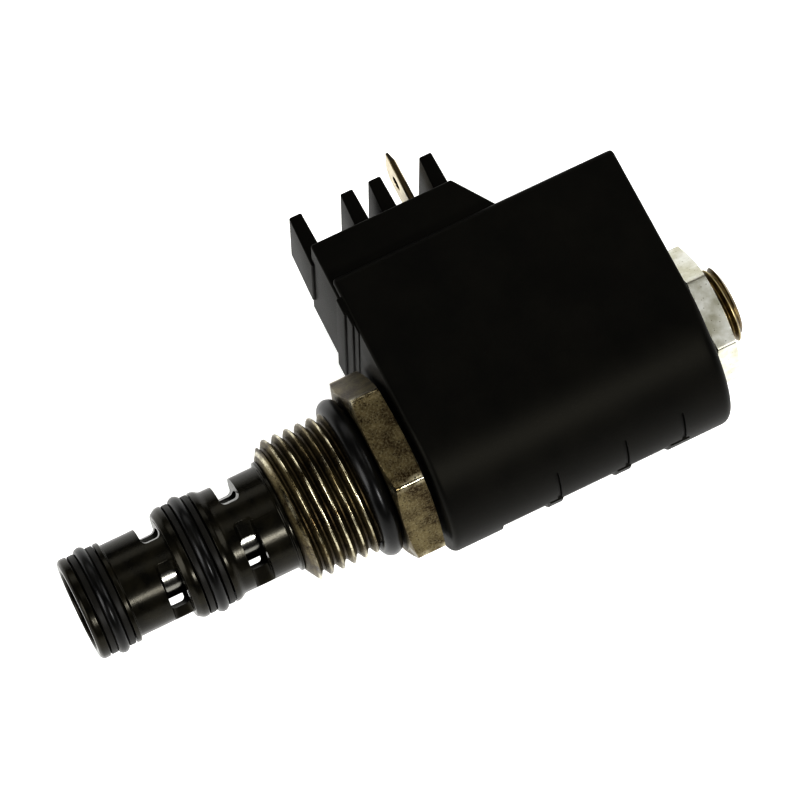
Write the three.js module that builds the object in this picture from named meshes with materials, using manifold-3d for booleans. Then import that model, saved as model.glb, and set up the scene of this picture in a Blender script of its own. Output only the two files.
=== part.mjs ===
// Solenoid cartridge valve: a screw-in hydraulic cartridge with its coil, held by a thin nut.
// Millimetres. The valve's axis is +X, from the open nose towards the coil nut. X = 0 is the
// hexagon's seating face. +Y points to the terminals and +Z is square to the coil's flat sides.

import * as THREE from 'three';
import { mergeVertices } from 'three/addons/utils/BufferGeometryUtils.js';
import Module from 'manifold-3d';

const wasm = await Module();
wasm.setup();

// ---- Driving dimensions ----

// Cavity thread 3/4-16 UNF and the 7/8 inch hexagon
const THREAD_CREST_R = 9.5;
const THREAD_ROOT_R = 8.55;
const THREAD_PITCH = 1.5875;
const THREAD_LEFT_X = -10.6;
const THREAD_RIGHT_X = -2.6;
const LEAD_IN_R = 9.3;
const RELIEF_R = 8.3;
const HEX_ACROSS_FLATS = 22.2;
const HEX_LENGTH = 4.5;
const HEX_CORNER_CUT = 0.45;
const BODY_LEFT_X = -12.6;
const BODY_LEFT_R = 7.5;
const BODY_WEB_LEFT_X = -5.6;
const BODY_WEB_RIGHT_X = -1.6;
const LINK_HOLE_R = 3.0;

// Nose cage
const NOSE_X = -40.5;
const CAGE_RIGHT_X = -5.8;
const CAGE_BORE_R = 5.25;
const CAGE_TAIL_R = 6.6;
const CAGE_SHOULDER_R = 7.45;
const CAGE_REAR_R = 6.95;
const CAGE_FRONT_R = 6.25;
const CAGE_FRONT_LAND_R = 6.75;
const CAGE_TIP_R = 6.45;
const MIDDLE_GROOVE = { left: -25.9, right: -22.1, rootR: 6.2 };
const NOSE_GROOVE = { left: -39.2, right: -35.5, rootR: 5.9 };
const PORT_WIDTH = 2.6;
const PORT_B_X = -28.8;
const PORT_A_X = -17.9;
const PORT_B_FLOOR = 4.4;
const PORT_A_FLOOR = 4.6;
const PORTS_PER_ROW = 3;
const PORT_START_DEG = 20.5;

// Spool train and its stroke
const SPOOL_R = 5.2;
const SPOOL_RECESS_R = 3.1;
const SPOOL_BORE_R = 1.8;
const STROKE = 2.9;
const SPOOL_LEFT_X = -31.7;
const SPOOL_RIGHT_X = -8.7;
const PLUNGER_LEFT_X = 6.6;
const PLUNGER_RIGHT_X = 24.0;
const PLUNGER_R = 5.25;
const SPRING_SEAT_X = 11.8;
const SPRING_BORE_R = 3.3;
const SPRING_R = 2.7;
const SPRING_WIRE_R = 0.4;
const SPRING_TURNS = 8;
const LINK_HEAD_R = 2.4;
const LINK_ROD_R = 1.3;
const LINK_HEAD_LENGTH = 1.7;
// The T-slot that a link's head hangs in
const SLOT_NECK = 1.6;
const SLOT_POCKET = 2.6;

// Guide tube, pole piece and stud
const TUBE_OUTER_R = 6.35;
const TUBE_INNER_R = 5.4;
const TUBE_RIGHT_X = 31.8;
const POLE_FACE_X = PLUNGER_RIGHT_X + STROKE + 0.1;
const POLE_RIGHT_X = 44.3;
const STUD_R = 5.0;
const STUD_PITCH = 1.0;
const STUD_END_X = 50.6;

// Seals: each gland holds a rubber ring between two hard back-up rings
const NOSE_GLAND = {
  x: -37.35, ringWidth: 1.5, backupWidth: 0.9, innerR: 5.95, outerR: 7.18, backupR: 6.7,
};
const MIDDLE_GLAND = {
  x: -24.0, ringWidth: 1.7, backupWidth: 0.85, innerR: 6.25, outerR: 7.85, backupR: 7.4,
};
const SEAT_RING = { x: -1.5, innerR: 8.35, outerR: 10.7, width: 2.6 };

// Coil
const COIL_R = 13.65;
const COIL_LEFT_X = 5.1;
const COIL_RIGHT_X = 44.4;
const COIL_TOP_Y = 21.05;
const COIL_EDGE = 1.1;
const COIL_CORNER = 1.6;
const COIL_WALL = 1.6;
const COIL_BORE_R = 6.65;
const COIL_CAVITY_R = 12.4;
const BLOCK_LEFT_X = 4.8;
const BLOCK_RIGHT_X = 24.4;
const BLOCK_SLOPE_X = 28.2;
const BLOCK_TOP_Y = 26.6;
const BLOCK_BOTTOM_Y = 20.2;
const BLOCK_HALF_DEPTH = 12.2;
const FOOT_INSET = 0.3;
const FOOT_STEPS = [
  { x: 4.4, low: 16.1, high: 18.5 },
  { x: 4.7, low: 14.4, high: 16.2 },
  { x: 4.95, low: 13.2, high: 14.5 },
];
const FIN_TIP_Y = 32.6;
const FIN_HALF_DEPTH = 7.1;
const FIN_THICKNESS = 1.7;
const FIN_DRAFT = 0.2;
const FIN_CENTRES_X = [5.5, 12.7, 16.6, 23.8];
const BLADE_THICKNESS = 0.8;
const BLADE_HALF_WIDTH = 3.15;
const BLADE_TIP_Y = 36.6;
const BLADE_HOLE_Y = 33.0;
const BLADE_HOLE_R = 0.9;
const BLADE_ROOT_Y = 11.9;
const BLADE_ROOT_THICKNESS = 0.6;
const BLADE_X = 20.35;
const STUB_X = 9.1;
const SLOT_TOP_Y = BLOCK_TOP_Y + 1;

// Inside the coil
const PLATE_THICKNESS = 2.6;
const PLATE_R = 10.9;
const YOKE_INNER_R = 11.05;
const YOKE_OUTER_R = 12.3;
const YOKE_SEAM_HALF = 4;
const BOBBIN_FLANGE = 1.0;
const BOBBIN_R = 10.6;
const BOBBIN_CORE_R = 7.6;
const WINDING_R = 10.3;
const LEAD_R = 0.35;
const LEAD_Y = 11.2;

// Nut and its washer
const NUT_ACROSS_FLATS = 16.0;
const NUT_LEFT_X = 45.0;
const NUT_RIGHT_X = 48.1;
const NUT_TURN_DEG = 16.9;
const NUT_CORNER_CUT = 0.5;
const NUT_WASHER_INNER_R = 5.3;
const NUT_WASHER_R = 8.2;

// Fineness of round surfaces
const ROUND = 36;
const ROUND_INNER = 24;

const RUNNING_GAP = 0.1;
const FIT_GAP = 0.05;

// ---- Materials ----

function metal(color, roughness) {
  return new THREE.MeshStandardMaterial({ color, roughness, metalness: 1 });
}

function plain(color, roughness) {
  return new THREE.MeshStandardMaterial({ color, roughness, metalness: 0 });
}

const FINISH = {
  blackSteel: metal(0x26251f, 0.4),
  platedSteel: metal(0xa79c7c, 0.4),
  brightSteel: metal(0xd4d0c4, 0.25),
  springSteel: metal(0x8f8f8f, 0.35),
  tubeSteel: metal(0xb5b3ab, 0.3),
  studSteel: metal(0x8d8260, 0.4),
  yokeSteel: metal(0x77756e, 0.5),
  zinc: metal(0xcfcdc2, 0.3),
  brass: metal(0xc9ab6a, 0.35),
  copper: metal(0xb4683a, 0.4),
  rubber: plain(0x0d0d0d, 0.6),
  ptfe: plain(0x1a1917, 0.5),
  moulding: plain(0x0a0a0a, 0.7),
  bobbin: plain(0x1d1c1a, 0.6),
};

// ---- Shape helpers ----

function mesh(name, geometry, material) {
  const part = new THREE.Mesh(geometry, material);
  part.name = name;
  return part;
}

// A solid of revolution about X from an outline of [x, radius] points. The outline closes on
// itself, unless it starts and ends on the axis.
function turned(points, segments = ROUND) {
  const outline = points.map(([x, r]) => new THREE.Vector2(r, x));
  if (THREE.ShapeUtils.area(outline) < 0) outline.reverse();
  const endsOnAxis = outline[0].x === 0 && outline.at(-1).x === 0;
  if (!endsOnAxis) outline.push(outline[0].clone());
  const geometry = new THREE.LatheGeometry(outline, segments);
  geometry.rotateZ(-Math.PI / 2);
  return geometry;
}

function toSolid(geometry) {
  const bare = geometry.clone();
  bare.deleteAttribute('normal');
  bare.deleteAttribute('uv');
  const merged = mergeVertices(bare, 1e-4);
  const corners = merged.index.array;
  const kept = [];
  for (let i = 0; i < corners.length; i += 3) {
    const [a, b, c] = corners.slice(i, i + 3);
    if (a !== b && b !== c && c !== a) kept.push(a, b, c);
  }
  const vertProperties = new Float32Array(merged.attributes.position.array);
  const triVerts = new Uint32Array(kept);
  return new wasm.Manifold(new wasm.Mesh({ numProp: 3, vertProperties, triVerts }));
}

function toGeometry(solid) {
  const result = solid.getMesh();
  const geometry = new THREE.BufferGeometry();
  geometry.setAttribute('position', new THREE.BufferAttribute(result.vertProperties, 3));
  geometry.setIndex(new THREE.BufferAttribute(result.triVerts, 1));
  geometry.computeVertexNormals();
  return geometry;
}

function box(low, high) {
  const size = high.map((value, i) => value - low[i]);
  const geometry = new THREE.BoxGeometry(...size);
  return geometry.translate(...low.map((value, i) => value + size[i] / 2));
}

// A straight rod along X.
function rod(radius, left, right, segments = ROUND) {
  const geometry = new THREE.CylinderGeometry(radius, radius, right - left, segments);
  geometry.rotateZ(-Math.PI / 2);
  return geometry.translate((left + right) / 2, 0, 0);
}

// A prism along X from a Shape drawn with its x as Y and its y as Z.
function prismX(shape, left, right, bevel = 0, curveSegments = 12) {
  const geometry = new THREE.ExtrudeGeometry(shape, {
    depth: right - left - 2 * bevel,
    bevelEnabled: bevel > 0,
    bevelThickness: bevel,
    bevelSize: bevel,
    bevelOffset: -bevel,
    bevelSegments: 3,
    curveSegments,
  });
  // drawing x -> Y, drawing y -> Z, depth -> X
  geometry.applyMatrix4(new THREE.Matrix4().makeBasis(
    new THREE.Vector3(0, 1, 0),
    new THREE.Vector3(0, 0, 1),
    new THREE.Vector3(1, 0, 0),
  ));
  return geometry.translate(left + bevel, 0, 0);
}

// A prism along Z from a Shape drawn in X and Y.
function prismZ(shape, low, high) {
  const geometry = new THREE.ExtrudeGeometry(shape, { depth: high - low, bevelEnabled: false });
  return geometry.translate(0, 0, low);
}

function polygon(points) {
  return new THREE.Shape(points.map(([x, y]) => new THREE.Vector2(x, y)));
}

// A ring of round section about the X axis, a little flattened by its groove.
function sealRing(x, innerR, outerR, width) {
  const sides = 8;
  const middle = (innerR + outerR) / 2;
  const half = (outerR - innerR) / 2;
  const points = [];
  for (let i = 0; i < sides; i += 1) {
    const angle = (i / sides) * 2 * Math.PI;
    points.push([x + (width / 2) * Math.cos(angle), middle + half * Math.sin(angle)]);
  }
  return turned(points);
}

// A washer of square section about the X axis.
function washer(left, right, innerR, outerR, segments = ROUND) {
  return turned([[left, innerR], [right, innerR], [right, outerR], [left, outerR]], segments);
}

// A hexagon about X with turned corners on its end faces, corners at +Y and -Y before turning.
function hexagon(acrossFlats, left, right, cornerCut, turnDeg) {
  const cornerR = acrossFlats / Math.sqrt(3);
  const corners = [];
  for (let i = 0; i < 6; i += 1) {
    const angle = (i * Math.PI) / 3 + (turnDeg * Math.PI) / 180;
    corners.push([cornerR * Math.cos(angle), cornerR * Math.sin(angle)]);
  }
  const prism = toSolid(prismX(polygon(corners), left, right));
  const faceR = (acrossFlats / 2) * 0.985;
  const fullR = cornerR + 0.5;
  const rise = (cornerCut * (fullR - faceR)) / (cornerR - faceR);
  const turnedBlank = toSolid(turned([
    [right, 0],
    [right, faceR],
    [right - rise, fullR],
    [left + rise, fullR],
    [left, faceR],
    [left, 0],
  ]));
  return prism.intersect(turnedBlank);
}

// ---- Hydraulic cartridge ----

function noseCage() {
  const tailX = BODY_LEFT_X - FIT_GAP;
  const outline = [
    [NOSE_X, CAGE_BORE_R + 0.15],
    [NOSE_X + 0.15, CAGE_BORE_R],
    [CAGE_RIGHT_X, CAGE_BORE_R],
    [CAGE_RIGHT_X, CAGE_TAIL_R],
    [tailX, CAGE_TAIL_R],
    [tailX, CAGE_SHOULDER_R],
    [tailX - 0.4, CAGE_SHOULDER_R],
    [tailX - 0.6, CAGE_REAR_R],
    [MIDDLE_GROOVE.right + 1.4, CAGE_REAR_R],
    [MIDDLE_GROOVE.right + 0.6, CAGE_SHOULDER_R],
    [MIDDLE_GROOVE.right, CAGE_SHOULDER_R],
    [MIDDLE_GROOVE.right, MIDDLE_GROOVE.rootR],
    [MIDDLE_GROOVE.left, MIDDLE_GROOVE.rootR],
    [MIDDLE_GROOVE.left, CAGE_SHOULDER_R],
    [MIDDLE_GROOVE.left - 0.7, CAGE_SHOULDER_R],
    [MIDDLE_GROOVE.left - 1.55, CAGE_REAR_R],
    [MIDDLE_GROOVE.left - 1.55, CAGE_FRONT_R],
    [NOSE_GROOVE.right + 0.7, CAGE_FRONT_R],
    [NOSE_GROOVE.right + 0.6, CAGE_FRONT_LAND_R],
    [NOSE_GROOVE.right, CAGE_FRONT_LAND_R],
    [NOSE_GROOVE.right, NOSE_GROOVE.rootR],
    [NOSE_GROOVE.left, NOSE_GROOVE.rootR],
    [NOSE_GROOVE.left, CAGE_FRONT_LAND_R],
    [NOSE_X + 0.3, CAGE_FRONT_LAND_R],
    [NOSE_X, CAGE_TIP_R],
  ];
  let cage = toSolid(turned(outline));
  const rows = [
    { x: PORT_B_X, floor: PORT_B_FLOOR },
    { x: PORT_A_X, floor: PORT_A_FLOOR },
  ];
  const reach = CAGE_SHOULDER_R + 1.5;
  for (const { x, floor } of rows) {
    for (let i = 0; i < PORTS_PER_ROW; i += 1) {
      const slot = box([x - PORT_WIDTH / 2, floor, -reach], [x + PORT_WIDTH / 2, reach, reach]);
      slot.rotateX(THREE.MathUtils.degToRad(PORT_START_DEG + (360 / PORTS_PER_ROW) * i));
      cage = cage.subtract(toSolid(slot));
    }
  }
  return mesh('nose_cage', toGeometry(cage), FINISH.blackSteel);
}

// Outline points for annular ridges of the thread form, from left to right.
function threadOutline(left, right, pitch, crestR, rootR) {
  const ridges = Math.floor((right - left) / pitch);
  const points = [];
  for (let i = 0; i < ridges; i += 1) {
    const x = left + i * pitch;
    points.push([x, rootR], [x + pitch * 0.42, crestR], [x + pitch * 0.56, crestR]);
  }
  points.push([left + ridges * pitch, rootR]);
  return points;
}

function hexBody() {
  const seatX = 0.6;
  const outside = [
    [BODY_LEFT_X, BODY_LEFT_R],
    [THREAD_LEFT_X - 0.85, LEAD_IN_R],
    [THREAD_LEFT_X - 0.65, LEAD_IN_R],
    ...threadOutline(THREAD_LEFT_X, THREAD_RIGHT_X, THREAD_PITCH, THREAD_CREST_R, THREAD_ROOT_R),
    [THREAD_RIGHT_X, RELIEF_R],
    [seatX, RELIEF_R],
  ];
  const inside = [
    [seatX, LINK_HOLE_R],
    [BODY_WEB_LEFT_X, LINK_HOLE_R],
    [BODY_WEB_LEFT_X, CAGE_TAIL_R + FIT_GAP],
    [BODY_LEFT_X, CAGE_TAIL_R + FIT_GAP],
  ];
  const stem = toSolid(turned([...inside, ...outside]));
  const head = hexagon(HEX_ACROSS_FLATS, 0, HEX_LENGTH, HEX_CORNER_CUT, 0);
  const tubeSeat = toSolid(rod(TUBE_OUTER_R + FIT_GAP, BODY_WEB_RIGHT_X, HEX_LENGTH + 1));
  const linkHole = toSolid(rod(LINK_HOLE_R, BODY_WEB_LEFT_X - 1, HEX_LENGTH));
  const body = stem.add(head).subtract(tubeSeat).subtract(linkHole);
  return mesh('hex_body', toGeometry(body), FINISH.platedSteel);
}

// The slot that takes a link's head: a narrow neck at the end face and a wider pocket behind it,
// both open to +Z.
function linkSlot(endX, inward) {
  const along = (from, to) => [endX + inward * from, endX + inward * to].sort((a, b) => a - b);
  const [neckLow, neckHigh] = along(-1, 1);
  const [pocketLow, pocketHigh] = along(1, 3);
  const neck = box([neckLow, -SLOT_NECK, -SLOT_NECK], [neckHigh, SLOT_NECK, 6]);
  const pocket = box([pocketLow, -SLOT_POCKET, -SLOT_POCKET], [pocketHigh, SLOT_POCKET, 6]);
  return toSolid(neck).add(toSolid(pocket));
}

function spool() {
  const boreEndX = SPOOL_RIGHT_X - 5.4;
  const recess = { left: -29.9, right: -15.6, ramp: 0.3 };
  const blank = toSolid(turned([
    [SPOOL_LEFT_X, SPOOL_BORE_R],
    [boreEndX, SPOOL_BORE_R],
    [boreEndX, SLOT_NECK],
    [SPOOL_RIGHT_X, SLOT_NECK],
    [SPOOL_RIGHT_X, SPOOL_R],
    [recess.right + recess.ramp, SPOOL_R],
    [recess.right, SPOOL_RECESS_R],
    [recess.left, SPOOL_RECESS_R],
    [recess.left - recess.ramp, SPOOL_R],
    [SPOOL_LEFT_X + 0.2, SPOOL_R],
    [SPOOL_LEFT_X, SPOOL_R - 0.2],
  ]));
  return mesh('spool', toGeometry(blank.subtract(linkSlot(SPOOL_RIGHT_X, -1))), FINISH.brightSteel);
}

function spoolLink() {
  const play = 0.1;
  const spoolHead = SPOOL_RIGHT_X - 1 - play;
  const plungerHead = PLUNGER_LEFT_X + 1 + play;
  return mesh('spool_link', turned([
    [plungerHead + LINK_HEAD_LENGTH, 0],
    [plungerHead + LINK_HEAD_LENGTH, LINK_HEAD_R],
    [plungerHead, LINK_HEAD_R],
    [plungerHead, LINK_ROD_R],
    [spoolHead, LINK_ROD_R],
    [spoolHead, LINK_HEAD_R],
    [spoolHead - LINK_HEAD_LENGTH, LINK_HEAD_R],
    [spoolHead - LINK_HEAD_LENGTH, 0],
  ], ROUND_INNER), FINISH.brightSteel);
}

function plunger() {
  const blank = toSolid(turned([
    [SPRING_SEAT_X, 0],
    [SPRING_SEAT_X, SPRING_BORE_R],
    [PLUNGER_RIGHT_X, SPRING_BORE_R],
    [PLUNGER_RIGHT_X, PLUNGER_R],
    [PLUNGER_LEFT_X, PLUNGER_R],
    [PLUNGER_LEFT_X, 0],
  ], ROUND_INNER));
  const oilGroove = toSolid(box([PLUNGER_LEFT_X - 1, -0.6, -6], [PLUNGER_RIGHT_X + 1, 0.6, -4.7]));
  const solid = blank.subtract(linkSlot(PLUNGER_LEFT_X, 1)).subtract(oilGroove);
  return mesh('plunger', toGeometry(solid), FINISH.brightSteel);
}

// Coil spring along X whose ends are closed turns.
class SpringPath extends THREE.Curve {
  constructor(left, right, radius, turns) {
    super();
    Object.assign(this, { left, right, radius, turns });
  }

  getPoint(t, target = new THREE.Vector3()) {
    const angle = t * this.turns * 2 * Math.PI;
    const x = this.left + t * (this.right - this.left);
    return target.set(x, this.radius * Math.cos(angle), this.radius * Math.sin(angle));
  }
}

function roundSection(radius, sides) {
  return polygon(Array.from({ length: sides }, (_, i) => {
    const angle = (i * 2 * Math.PI) / sides;
    return [radius * Math.cos(angle), radius * Math.sin(angle)];
  }));
}

function returnSpring() {
  const end = SPRING_WIRE_R + RUNNING_GAP;
  const extrudePath = new SpringPath(SPRING_SEAT_X + end, POLE_FACE_X - end, SPRING_R, SPRING_TURNS);
  const wire = roundSection(SPRING_WIRE_R, 6);
  const geometry = new THREE.ExtrudeGeometry(wire, { steps: SPRING_TURNS * 9, extrudePath });
  return mesh('return_spring', geometry, FINISH.springSteel);
}

function guideTube() {
  const left = BODY_WEB_RIGHT_X + FIT_GAP;
  const tube = washer(left, TUBE_RIGHT_X, TUBE_INNER_R, TUBE_OUTER_R, ROUND_INNER);
  return mesh('guide_tube', tube, FINISH.tubeSteel);
}

function polePiece() {
  const exposedX = NUT_RIGHT_X - 0.5;
  const neckR = STUD_R - RUNNING_GAP;
  const thread = threadOutline(exposedX, STUD_END_X, STUD_PITCH, STUD_R, STUD_R - 0.5);
  return mesh('pole_piece', turned([
    [STUD_END_X, 0],
    ...thread.reverse(),
    [exposedX, neckR],
    [POLE_RIGHT_X, neckR],
    [POLE_RIGHT_X, TUBE_OUTER_R],
    [TUBE_RIGHT_X + FIT_GAP, TUBE_OUTER_R],
    [TUBE_RIGHT_X + FIT_GAP, TUBE_INNER_R - FIT_GAP],
    [POLE_FACE_X, TUBE_INNER_R - FIT_GAP],
    [POLE_FACE_X, 0],
  ]), FINISH.studSteel);
}

function glandSeals(name, { x, ringWidth, backupWidth, innerR, outerR, backupR }) {
  const near = ringWidth / 2 + 0.03;
  const far = near + backupWidth;
  return [
    mesh(`${name}_o_ring`, sealRing(x, innerR, outerR, ringWidth), FINISH.rubber),
    mesh(`${name}_backup_ring_front`, washer(x - far, x - near, innerR, backupR), FINISH.ptfe),
    mesh(`${name}_backup_ring_rear`, washer(x + near, x + far, innerR, backupR), FINISH.ptfe),
  ];
}

function cartridgeSeals() {
  const { x, innerR, outerR, width } = SEAT_RING;
  return [
    ...glandSeals('nose', NOSE_GLAND),
    ...glandSeals('middle', MIDDLE_GLAND),
    mesh('seat_o_ring', sealRing(x, innerR, outerR, width), FINISH.rubber),
  ];
}

// ---- Coil ----

// Round below, square above: the outline of the coil body across the valve.
function coilSection(radius, topY) {
  const shape = new THREE.Shape();
  const corner = COIL_CORNER;
  shape.moveTo(topY - corner, radius);
  shape.lineTo(0, radius);
  shape.absarc(0, 0, radius, Math.PI / 2, (3 * Math.PI) / 2, false);
  shape.lineTo(topY - corner, -radius);
  shape.absarc(topY - corner, -radius + corner, corner, -Math.PI / 2, 0, false);
  shape.lineTo(topY, radius - corner);
  shape.absarc(topY - corner, radius - corner, corner, 0, Math.PI / 2, false);
  return shape;
}

function fin(centreX) {
  const tip = FIN_THICKNESS / 2;
  const root = tip + FIN_DRAFT;
  return prismZ(polygon([
    [centreX - root, BLOCK_TOP_Y - 1],
    [centreX + root, BLOCK_TOP_Y - 1],
    [centreX + tip, FIN_TIP_Y],
    [centreX - tip, FIN_TIP_Y],
  ]), -FIN_HALF_DEPTH, FIN_HALF_DEPTH);
}

function terminalBlock() {
  return prismZ(polygon([
    [BLOCK_LEFT_X + 0.3, BLOCK_BOTTOM_Y],
    [BLOCK_SLOPE_X, BLOCK_BOTTOM_Y],
    [BLOCK_SLOPE_X, COIL_TOP_Y],
    [BLOCK_RIGHT_X, BLOCK_TOP_Y],
    [BLOCK_LEFT_X, BLOCK_TOP_Y],
  ]), -BLOCK_HALF_DEPTH, BLOCK_HALF_DEPTH);
}

function coilHousing() {
  let body = toSolid(prismX(coilSection(COIL_R, COIL_TOP_Y), COIL_LEFT_X, COIL_RIGHT_X, COIL_EDGE));
  body = body.add(toSolid(terminalBlock()));
  for (const x of FIN_CENTRES_X) body = body.add(toSolid(fin(x)));
  // Stepped foot under the terminal block, clear of the hexagon
  const footZ = COIL_R - FOOT_INSET;
  for (const { x, low, high } of FOOT_STEPS) {
    body = body.add(toSolid(box([x, low, -footZ], [COIL_LEFT_X + 2, high, footZ])));
  }
  // Bore for the tube, and the room that the bobbin, winding and yoke are moulded into
  const bore = rod(COIL_BORE_R, COIL_LEFT_X - 2, COIL_RIGHT_X + 2);
  const cavity = rod(COIL_CAVITY_R, COIL_LEFT_X + COIL_WALL, COIL_RIGHT_X - COIL_WALL);
  body = body.subtract(toSolid(bore)).subtract(toSolid(cavity));
  for (const x of [BLADE_X, STUB_X]) {
    const halfX = BLADE_THICKNESS / 2 + RUNNING_GAP;
    const halfZ = BLADE_HALF_WIDTH + RUNNING_GAP;
    const slot = box([x - halfX, COIL_CAVITY_R - 2, -halfZ], [x + halfX, SLOT_TOP_Y, halfZ]);
    body = body.subtract(toSolid(slot));
  }
  return mesh('coil_housing', toGeometry(body), FINISH.moulding);
}

// A spade terminal standing in its bay, with a tapered tip and a detent hole. Its root is coined
// thinner where it is keyed into the moulding.
function terminalBlade() {
  const tipHalf = 2.0;
  const shoulder = BLADE_TIP_Y - 1.6;
  const outline = polygon([
    [BLOCK_TOP_Y, -BLADE_HALF_WIDTH],
    [shoulder, -BLADE_HALF_WIDTH],
    [BLADE_TIP_Y, -tipHalf],
    [BLADE_TIP_Y, tipHalf],
    [shoulder, BLADE_HALF_WIDTH],
    [BLOCK_TOP_Y, BLADE_HALF_WIDTH],
  ]);
  const hole = new THREE.Path();
  hole.absarc(BLADE_HOLE_Y, 0, BLADE_HOLE_R, 0, 2 * Math.PI, true);
  outline.holes.push(hole);
  const blade = toSolid(prismX(outline, BLADE_X - BLADE_THICKNESS / 2, BLADE_X + BLADE_THICKNESS / 2));
  const rootHalf = BLADE_ROOT_THICKNESS / 2;
  const root = toSolid(box(
    [BLADE_X - rootHalf, BLADE_ROOT_Y, -BLADE_HALF_WIDTH],
    [BLADE_X + rootHalf, BLOCK_TOP_Y + RUNNING_GAP, BLADE_HALF_WIDTH],
  ));
  return mesh('terminal_blade', toGeometry(blade.add(root)), FINISH.brass);
}

// The second terminal ends just below the floor of its bay.
function terminalStub() {
  const half = BLADE_THICKNESS / 2;
  const low = [STUB_X - half, BLADE_ROOT_Y, -BLADE_HALF_WIDTH];
  const high = [STUB_X + half, BLOCK_TOP_Y - RUNNING_GAP, BLADE_HALF_WIDTH];
  return mesh('terminal_stub', box(low, high), FINISH.brass);
}

function coilInside() {
  const left = COIL_LEFT_X + COIL_WALL + RUNNING_GAP;
  const right = COIL_RIGHT_X - COIL_WALL - RUNNING_GAP;
  const bobbinLeft = left + PLATE_THICKNESS + RUNNING_GAP;
  const bobbinRight = right - PLATE_THICKNESS - RUNNING_GAP;
  const woundLeft = bobbinLeft + BOBBIN_FLANGE;
  const woundRight = bobbinRight - BOBBIN_FLANGE;
  const bobbin = turned([
    [bobbinLeft, COIL_BORE_R],
    [bobbinRight, COIL_BORE_R],
    [bobbinRight, BOBBIN_R],
    [woundRight, BOBBIN_R],
    [woundRight, BOBBIN_CORE_R],
    [woundLeft, BOBBIN_CORE_R],
    [woundLeft, BOBBIN_R],
    [bobbinLeft, BOBBIN_R],
  ], ROUND_INNER);
  const winding = [woundLeft + FIT_GAP, woundRight - FIT_GAP, BOBBIN_CORE_R + FIT_GAP, WINDING_R];
  // The yoke is rolled from sheet, and its open seam lets the leads and terminals through
  const sleeve = toSolid(washer(left, right, YOKE_INNER_R, YOKE_OUTER_R, ROUND_INNER));
  const seam = toSolid(box(
    [left - 1, YOKE_INNER_R - 2, -YOKE_SEAM_HALF],
    [right + 1, YOKE_OUTER_R + 2, YOKE_SEAM_HALF],
  ));
  const plate = (from) => washer(from, from + PLATE_THICKNESS, COIL_BORE_R, PLATE_R, ROUND_INNER);
  return [
    mesh('flux_washer_left', plate(left), FINISH.yokeSteel),
    mesh('flux_washer_right', plate(right - PLATE_THICKNESS), FINISH.yokeSteel),
    mesh('yoke', toGeometry(sleeve.subtract(seam)), FINISH.yokeSteel),
    mesh('bobbin', bobbin, FINISH.bobbin),
    mesh('winding', washer(...winding, ROUND_INNER), FINISH.copper),
  ];
}

// An enamelled wire from one end of the winding to the root of a terminal.
function lead(name, fromX, toX, z) {
  const extrudePath = new THREE.CatmullRomCurve3([
    new THREE.Vector3(fromX, WINDING_R + LEAD_R + RUNNING_GAP, z),
    new THREE.Vector3(fromX - 1.5, LEAD_Y, z),
    new THREE.Vector3(toX + 1.5, LEAD_Y, z),
    new THREE.Vector3(toX, BLADE_ROOT_Y - LEAD_R - RUNNING_GAP, z),
  ], false, 'centripetal');
  const wire = new THREE.ExtrudeGeometry(roundSection(LEAD_R, 8), { steps: 12, extrudePath });
  return mesh(name, wire, FINISH.copper);
}

// ---- Nut and its washer ----

function coilNut() {
  const blank = hexagon(NUT_ACROSS_FLATS, NUT_LEFT_X, NUT_RIGHT_X, NUT_CORNER_CUT, NUT_TURN_DEG);
  const bore = toSolid(rod(STUD_R + RUNNING_GAP, NUT_LEFT_X - 1, NUT_RIGHT_X + 1));
  return mesh('coil_nut', toGeometry(blank.subtract(bore)), FINISH.zinc);
}

function nutWasher() {
  const ring = washer(COIL_RIGHT_X + FIT_GAP, NUT_LEFT_X - FIT_GAP, NUT_WASHER_INNER_R, NUT_WASHER_R);
  return mesh('nut_washer', ring, FINISH.zinc);
}

const valve = new THREE.Group();
valve.add(
  noseCage(),
  hexBody(),
  spool(),
  spoolLink(),
  plunger(),
  returnSpring(),
  guideTube(),
  polePiece(),
  ...cartridgeSeals(),
  coilHousing(),
  ...coilInside(),
  terminalBlade(),
  terminalStub(),
  lead('lead_wire_blade', 34.5, BLADE_X, 1.6),
  lead('lead_wire_stub', 13.5, STUB_X, -1.6),
  nutWasher(),
  coilNut(),
);

export default valve;
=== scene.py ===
"""Looks of a screw-in solenoid cartridge valve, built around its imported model.

Sizes are written in millimetres and become metres when a mesh is made. +X runs along the valve
from the open nose to the coil nut, +Y to the terminals and +Z square to the coil's flat side.
"""

import math
import bmesh
import bpy
import numpy as np
from mathutils import Matrix, Vector


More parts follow.
